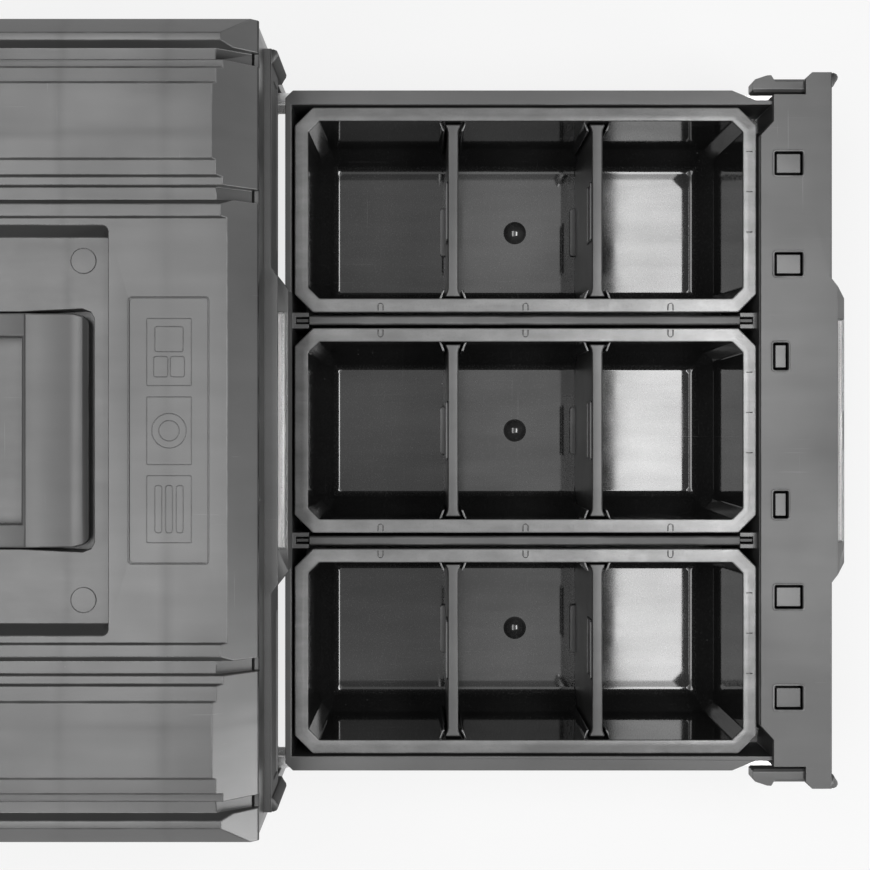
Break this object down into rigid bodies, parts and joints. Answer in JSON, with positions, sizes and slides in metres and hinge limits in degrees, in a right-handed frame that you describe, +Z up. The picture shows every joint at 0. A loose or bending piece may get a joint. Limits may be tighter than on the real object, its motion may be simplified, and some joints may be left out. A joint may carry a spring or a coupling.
{
  "type": "modular tool box",
  "caption": "Stackable modular tool box with drawers on telescopic slides, lift-out bins with dividers, snap catches and a folding carrying handle.",
  "frame": {"origin": "middle of the standing face, under the middle of the case", "axes": "+Z up, the drawers pull out towards -Y, X across the width"},
  "size_m": [0.53, 0.809, 0.27],
  "materials": {
    "case_plastic": "fine spark-eroded grain, dark grey",
    "handle_plastic": "fine grain, dark grey",
    "front_plastic": "fine grain, dark grey",
    "tray_plastic": "satin black",
    "hook_plastic": "satin dark grey",
    "bin_plastic": "glossy inside, satin rim, black",
    "divider_plastic": "semi-gloss black",
    "clear_plastic": "clear polished plastic",
    "label_card": "blank white card",
    "zinc_steel": "bright zinc-plated strip",
    "pin_steel": "plain steel pin"
  },
  "bodies": {
    "carcass": {"base_panel": "case_plastic", "back_panel": "case_plastic", "top_cover": "case_plastic", "handle_pins": "pin_steel", "left_side_panel": "case_plastic", "right_side_panel": "case_plastic", "lower_left_outer_rail": "zinc_steel", "lower_right_outer_rail": "zinc_steel", "upper_left_outer_rail": "zinc_steel", "upper_right_outer_rail": "zinc_steel"},
    "handle": {"carry_handle": "handle_plastic"},
    "lower_drawer": {"lower_drawer_tray": "tray_plastic", "lower_drawer_front": "front_plastic", "lower_label_window": "clear_plastic", "lower_label_card": "label_card", "lower_hook_pins": "pin_steel", "lower_corner_brackets": "zinc_steel", "lower_left_inner_rail": "zinc_steel", "lower_left_partition": "tray_plastic", "lower_right_inner_rail": "zinc_steel", "lower_right_partition": "tray_plastic", "lower_left_bin": "bin_plastic", "lower_left_front_divider": "divider_plastic", "lower_left_rear_divider": "divider_plastic", "lower_centre_bin": "bin_plastic", "lower_centre_front_divider": "divider_plastic", "lower_centre_rear_divider": "divider_plastic", "lower_right_bin": "bin_plastic", "lower_right_front_divider": "divider_plastic", "lower_right_rear_divider": "divider_plastic"},
    "lower_slide_middles": {"lower_left_middle_rail": "zinc_steel", "lower_right_middle_rail": "zinc_steel"},
    "lower_left_hook": {"lower_left_hook": "hook_plastic"},
    "lower_right_hook": {"lower_right_hook": "hook_plastic"},
    "upper_drawer": {"upper_drawer_tray": "tray_plastic", "upper_drawer_front": "front_plastic", "upper_label_window": "clear_plastic", "upper_label_card": "label_card", "upper_hook_pins": "pin_steel", "upper_corner_brackets": "zinc_steel", "upper_left_inner_rail": "zinc_steel", "upper_left_partition": "tray_plastic", "upper_right_inner_rail": "zinc_steel", "upper_right_partition": "tray_plastic", "upper_left_bin": "bin_plastic", "upper_left_dividers": "divider_plastic", "upper_centre_bin": "bin_plastic", "upper_centre_dividers": "divider_plastic", "upper_right_bin": "bin_plastic", "upper_right_dividers": "divider_plastic"},
    "upper_slide_middles": {"upper_left_middle_rail": "zinc_steel", "upper_right_middle_rail": "zinc_steel"},
    "upper_left_hook": {"upper_left_hook": "hook_plastic"},
    "upper_right_hook": {"upper_right_hook": "hook_plastic"}
  },
  "joints": [
    {"name": "handle_fold", "type": "hinge", "parent": "carcass", "child": "handle", "pos_m": [0, 0, 0.241], "axis": [-1, 0, 0], "range_deg": [0, 100]},
    {"name": "lower_drawer_slide", "type": "slide", "parent": "carcass", "child": "lower_drawer", "axis": [0, -1, 0], "range_m": [-0.394, 0]},
    {"name": "lower_middle_slide", "type": "slide", "parent": "carcass", "child": "lower_slide_middles", "axis": [0, -1, 0], "range_m": [-0.197, 0]},
    {"name": "lower_left_hook_turn", "type": "hinge", "parent": "lower_drawer", "child": "lower_left_hook", "pos_m": [-0.2483, -0.5865, 0.13875], "axis": [0, 0, -1], "range_deg": [0, 5], "stiffness_Nm_per_rad": 0.5},
    {"name": "lower_right_hook_turn", "type": "hinge", "parent": "lower_drawer", "child": "lower_right_hook", "pos_m": [0.2483, -0.5865, 0.13875], "axis": [0, 0, 1], "range_deg": [0, 5], "stiffness_Nm_per_rad": 0.5},
    {"name": "upper_drawer_slide", "type": "slide", "parent": "carcass", "child": "upper_drawer", "axis": [0, -1, 0], "range_m": [0, 0.394]},
    {"name": "upper_middle_slide", "type": "slide", "parent": "carcass", "child": "upper_slide_middles", "axis": [0, -1, 0], "range_m": [0, 0.197]},
    {"name": "upper_left_hook_turn", "type": "hinge", "parent": "upper_drawer", "child": "upper_left_hook", "pos_m": [-0.2483, -0.1925, 0.20075], "axis": [0, 0, -1], "range_deg": [0, 5], "stiffness_Nm_per_rad": 0.5},
    {"name": "upper_right_hook_turn", "type": "hinge", "parent": "upper_drawer", "child": "upper_right_hook", "pos_m": [0.2483, -0.1925, 0.20075], "axis": [0, 0, 1], "range_deg": [0, 5], "stiffness_Nm_per_rad": 0.5}
  ],
  "couplings": [
    {"joint": "lower_middle_slide", "follows": "lower_drawer_slide", "ratio": 0.5},
    {"joint": "upper_middle_slide", "follows": "upper_drawer_slide", "ratio": 0.5}
  ]
}
